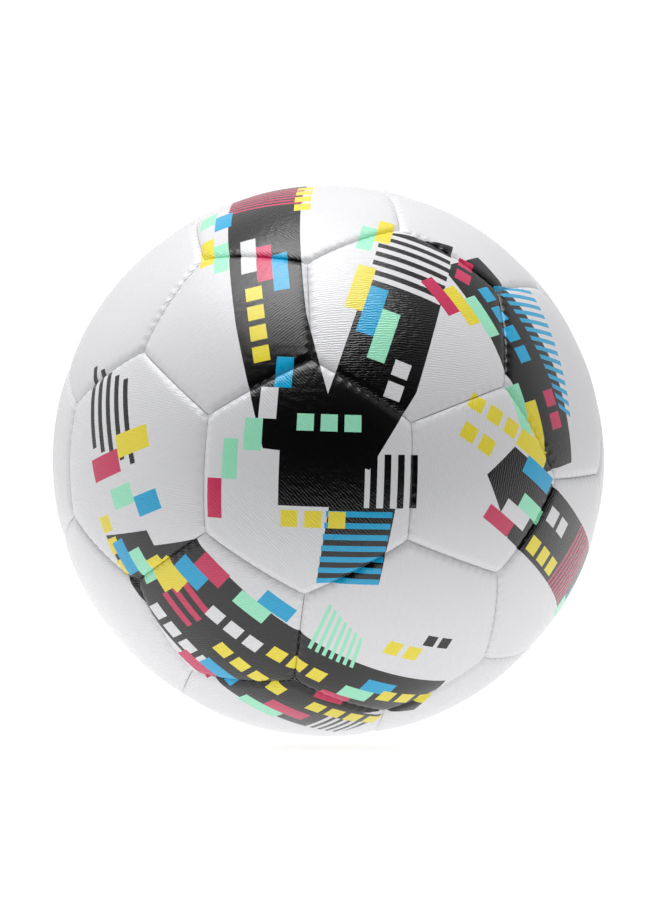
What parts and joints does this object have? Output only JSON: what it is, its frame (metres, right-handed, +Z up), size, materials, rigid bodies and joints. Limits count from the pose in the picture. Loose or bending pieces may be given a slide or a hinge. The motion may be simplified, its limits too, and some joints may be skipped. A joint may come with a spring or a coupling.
{
  "type": "soccer ball",
  "caption": "Stitched soccer ball of six-sided and five-sided panels with a bold abstract block and stripe print, over a rubber bladder with a needle valve.",
  "frame": {"origin": "the ball's centre", "axes": "+Z up as the ball rests, -Y towards the side with the main black print, +X to that side's right"},
  "size_m": [0.22, 0.22, 0.22],
  "materials": {
    "panel_cover": "embossed synthetic leather, satin gloss, printed in black, blue, pink, yellow and mint on white",
    "foam": "closed-cell foam",
    "lining": "plain-woven polyester and cotton backing",
    "thread": "waxed twisted polyester thread",
    "bladder": "thin butyl rubber with talc dust",
    "valve_rubber": "moulded butyl rubber",
    "valve_core": "soft self-closing rubber"
  },
  "bodies": {
    "root": {"hexagon_panel_01": "panel_cover", "hexagon_panel_02": "panel_cover", "hexagon_panel_03": "panel_cover", "hexagon_panel_04": "panel_cover", "hexagon_panel_05": "panel_cover", "hexagon_panel_06": "panel_cover", "hexagon_panel_07": "panel_cover", "hexagon_panel_08": "panel_cover", "hexagon_panel_09": "panel_cover", "hexagon_panel_10": "panel_cover", "hexagon_panel_11": "panel_cover", "hexagon_panel_12": "panel_cover", "hexagon_panel_13": "panel_cover", "hexagon_panel_14": "panel_cover", "hexagon_panel_15": "panel_cover", "hexagon_panel_16": "panel_cover", "hexagon_panel_17": "panel_cover", "hexagon_panel_18": "panel_cover", "hexagon_panel_19": "panel_cover", "hexagon_panel_20": "panel_cover", "pentagon_panel_01": "panel_cover", "pentagon_panel_02": "panel_cover", "pentagon_panel_03": "panel_cover", "pentagon_panel_04": "panel_cover", "pentagon_panel_05": "panel_cover", "pentagon_panel_06": "panel_cover", "pentagon_panel_07": "panel_cover", "pentagon_panel_08": "panel_cover", "pentagon_panel_09": "panel_cover", "pentagon_panel_10": "panel_cover", "pentagon_panel_11": "panel_cover", "pentagon_panel_12": "panel_cover", "hexagon_foam": "foam", "pentagon_foam": "foam", "hexagon_lining": "lining", "pentagon_lining": "lining", "seam_thread": "thread", "bladder": "bladder", "valve_patch": "lining", "valve_boot": "valve_rubber", "valve_plug": "valve_core"}
  },
  "joints": []
}
